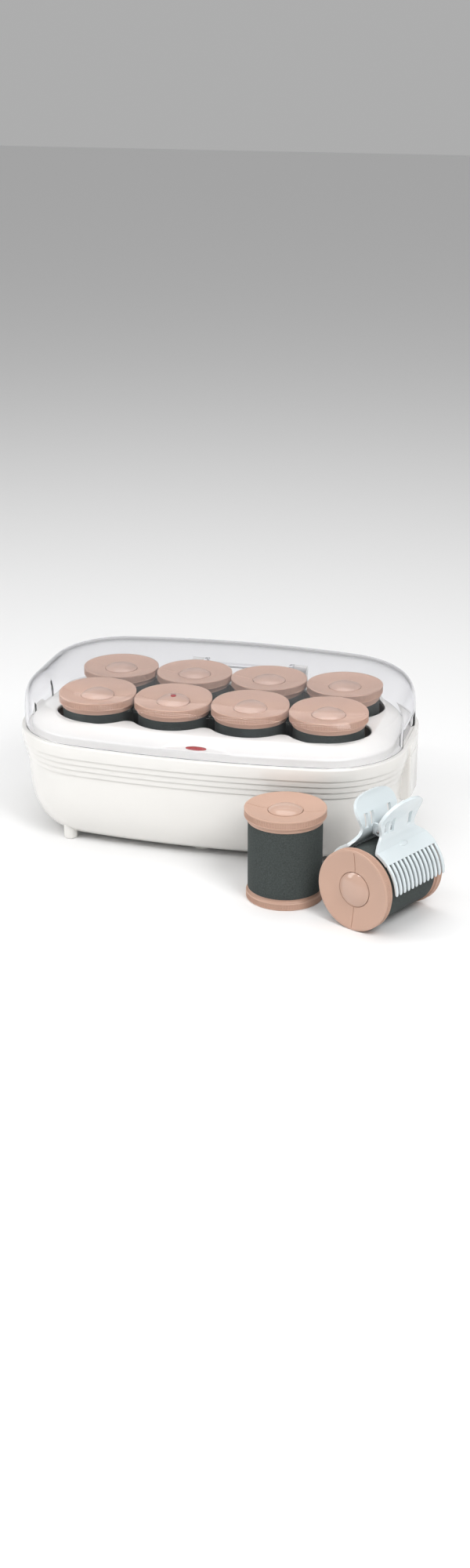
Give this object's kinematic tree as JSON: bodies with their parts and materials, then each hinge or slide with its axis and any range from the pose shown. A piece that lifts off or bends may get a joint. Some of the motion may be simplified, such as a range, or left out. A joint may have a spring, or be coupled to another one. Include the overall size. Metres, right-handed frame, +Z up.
{
  "type": "heated hair roller set",
  "caption": "Heated hair roller set: white case with a clear hinged lid, flocked jumbo rollers on heating posts, loose rollers and a comb-toothed claw clip.",
  "frame": {"origin": "middle of the set's footprint, on the surface it stands on", "axes": "+Z up; +X along the rows of rollers; -Y towards the front of the case, where the indicator is"},
  "size_m": [0.3292, 0.2628, 0.1168],
  "materials": {
    "white_plastic": "smooth gloss moulding",
    "clear_lid": "clear polished styrene",
    "rose_plastic": "satin with a fine knurled edge",
    "rose_gloss": "polished",
    "flock": "short dense flock",
    "core_plastic": "plain moulding",
    "clip_plastic": "milky gloss",
    "steel": "bright",
    "aluminium": "plain",
    "red_plastic": "clear red",
    "lamp_glass": "neon lamp",
    "taupe_plastic": "heat-resistant moulding",
    "grey_plastic": "plain moulding"
  },
  "bodies": {
    "case": {"base_plate": "white_plastic", "base_screws": "steel", "cord_gland": "grey_plastic", "deck": "white_plastic", "end_panels": "white_plastic", "feet": "white_plastic", "front_nub": "white_plastic", "heat_shield": "aluminium", "heating_element": "steel", "heating_plate": "aluminium", "heating_posts": "aluminium", "hinge_brackets": "white_plastic", "hinge_pins": "steel", "housing": "white_plastic", "indicator_lamp": "lamp_glass", "indicator_lens": "red_plastic", "terminal_block": "grey_plastic", "thermal_fuse": "steel", "thermostat": "steel", "well_liner": "taupe_plastic"},
    "lid": {"lid": "clear_lid"},
    "front_roller_1": {"front_roller_1_cap": "rose_plastic", "front_roller_1_core": "core_plastic", "front_roller_1_sleeve": "flock"},
    "front_roller_2": {"front_roller_2_cap": "rose_plastic", "front_roller_2_core": "core_plastic", "front_roller_2_sleeve": "flock", "ready_dot": "red_plastic"},
    "front_roller_3": {"front_roller_3_cap": "rose_plastic", "front_roller_3_core": "core_plastic", "front_roller_3_sleeve": "flock"},
    "front_roller_4": {"front_roller_4_cap": "rose_plastic", "front_roller_4_core": "core_plastic", "front_roller_4_sleeve": "flock"},
    "back_roller_1": {"back_roller_1_cap": "rose_plastic", "back_roller_1_core": "core_plastic", "back_roller_1_sleeve": "flock"},
    "back_roller_2": {"back_roller_2_cap": "rose_plastic", "back_roller_2_core": "core_plastic", "back_roller_2_sleeve": "flock"},
    "back_roller_3": {"back_roller_3_cap": "rose_plastic", "back_roller_3_core": "core_plastic", "back_roller_3_sleeve": "flock"},
    "back_roller_4": {"back_roller_4_cap": "rose_plastic", "back_roller_4_core": "core_plastic", "back_roller_4_sleeve": "flock"},
    "standing_roller": {"standing_roller_cap": "rose_plastic", "standing_roller_core": "core_plastic", "standing_roller_dome": "rose_gloss", "standing_roller_ring": "rose_plastic", "standing_roller_sleeve": "flock"},
    "lying_roller": {"lying_roller_cap": "rose_plastic", "lying_roller_core": "core_plastic", "lying_roller_dome": "rose_gloss", "lying_roller_ring": "rose_plastic", "lying_roller_sleeve": "flock"},
    "clip_carrier": {"clip_pin": "steel", "clip_spring": "steel"},
    "clip_jaw_right": {"clip_jaw_right": "clip_plastic"},
    "clip_jaw_left": {"clip_jaw_left": "clip_plastic"}
  },
  "joints": [
    {"name": "lid_hinge", "type": "hinge", "parent": "case", "child": "lid", "pos_m": [-0.02081, 0.12821, 0.0915], "axis": [-1, 0, 0], "range_deg": [0, 105]},
    {"name": "front_roller_1_lift", "type": "slide", "parent": "case", "child": "front_roller_1", "axis": [0, 0, 1], "range_m": [0, 0.008]},
    {"name": "front_roller_2_lift", "type": "slide", "parent": "case", "child": "front_roller_2", "axis": [0, 0, 1], "range_m": [0, 0.008]},
    {"name": "front_roller_3_lift", "type": "slide", "parent": "case", "child": "front_roller_3", "axis": [0, 0, 1], "range_m": [0, 0.008]},
    {"name": "front_roller_4_lift", "type": "slide", "parent": "case", "child": "front_roller_4", "axis": [0, 0, 1], "range_m": [0, 0.008]},
    {"name": "back_roller_1_lift", "type": "slide", "parent": "case", "child": "back_roller_1", "axis": [0, 0, 1], "range_m": [0, 0.008]},
    {"name": "back_roller_2_lift", "type": "slide", "parent": "case", "child": "back_roller_2", "axis": [0, 0, 1], "range_m": [0, 0.008]},
    {"name": "back_roller_3_lift", "type": "slide", "parent": "case", "child": "back_roller_3", "axis": [0, 0, 1], "range_m": [0, 0.008]},
    {"name": "back_roller_4_lift", "type": "slide", "parent": "case", "child": "back_roller_4", "axis": [0, 0, 1], "range_m": [0, 0.008]},
    {"name": "standing_roller_lift", "type": "slide", "parent": "case", "child": "standing_roller", "axis": [0, 0, 1], "range_m": [0, 0.12]},
    {"name": "lying_roller_lift", "type": "slide", "parent": "case", "child": "lying_roller", "axis": [0, 0, 1], "range_m": [0, 0.1]},
    {"name": "clip_pull_off", "type": "slide", "parent": "lying_roller", "child": "clip_carrier", "axis": [0.0102, 0.0213, 0.9997], "range_m": [0, 0.06]},
    {"name": "clip_squeeze", "type": "hinge", "parent": "clip_carrier", "child": "clip_jaw_right", "pos_m": [0.12625, -0.08576, 0.06076], "axis": [-0.432, -0.9016, 0.0236], "range_deg": [0, 20], "stiffness_Nm_per_rad": 0.15, "springref_deg": -17.19},
    {"name": "clip_squeeze_left", "type": "hinge", "parent": "clip_carrier", "child": "clip_jaw_left", "pos_m": [0.12625, -0.08576, 0.06076], "axis": [-0.432, -0.9016, 0.0236], "range_deg": [-20, 0]}
  ],
  "couplings": [
    {"joint": "clip_squeeze_left", "follows": "clip_squeeze", "ratio": -1}
  ]
}
